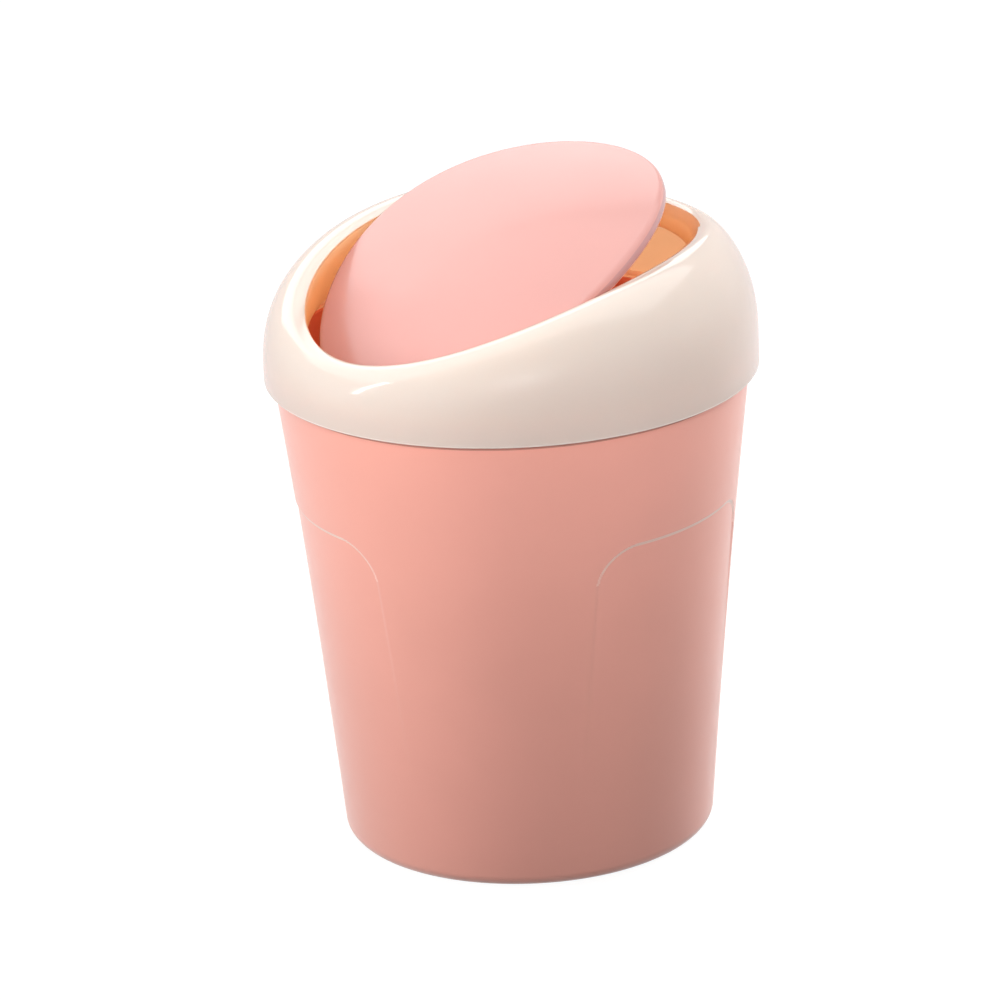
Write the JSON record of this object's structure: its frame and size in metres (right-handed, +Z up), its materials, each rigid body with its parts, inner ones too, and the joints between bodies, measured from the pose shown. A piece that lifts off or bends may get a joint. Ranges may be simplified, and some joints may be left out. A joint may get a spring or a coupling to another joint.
{
  "type": "countertop trash can",
  "caption": "Small round countertop trash can: flared bucket with shallow wall panels, domed lift-off lid ring with an oval opening, and a domed flap swinging on a level hinge across it.",
  "frame": {"origin": "centre of the base, on the surface the can stands on", "axes": "+Z up; -Y towards the low front of the lid, +Y towards its high back; X along the flap's hinge"},
  "size_m": [0.1348, 0.1348, 0.1852],
  "materials": {
    "bucket_plastic": "smooth moulded plastic, soft gloss, pink",
    "ring_plastic": "smooth moulded plastic, gloss, ivory",
    "flap_plastic": "smooth moulded plastic, soft gloss, pink"
  },
  "bodies": {
    "bucket": {"bucket": "bucket_plastic"},
    "lid": {"lid_ring": "ring_plastic"},
    "flap": {"swing_flap": "flap_plastic"}
  },
  "joints": [
    {"name": "lid_lift", "type": "slide", "parent": "bucket", "child": "lid", "axis": [0, 0, 1], "range_m": [0, 0.06]},
    {"name": "flap_swing", "type": "hinge", "parent": "lid", "child": "flap", "pos_m": [0, -0.008, 0.15512], "axis": [1, 0, 0], "range_deg": [-20, 45]}
  ]
}
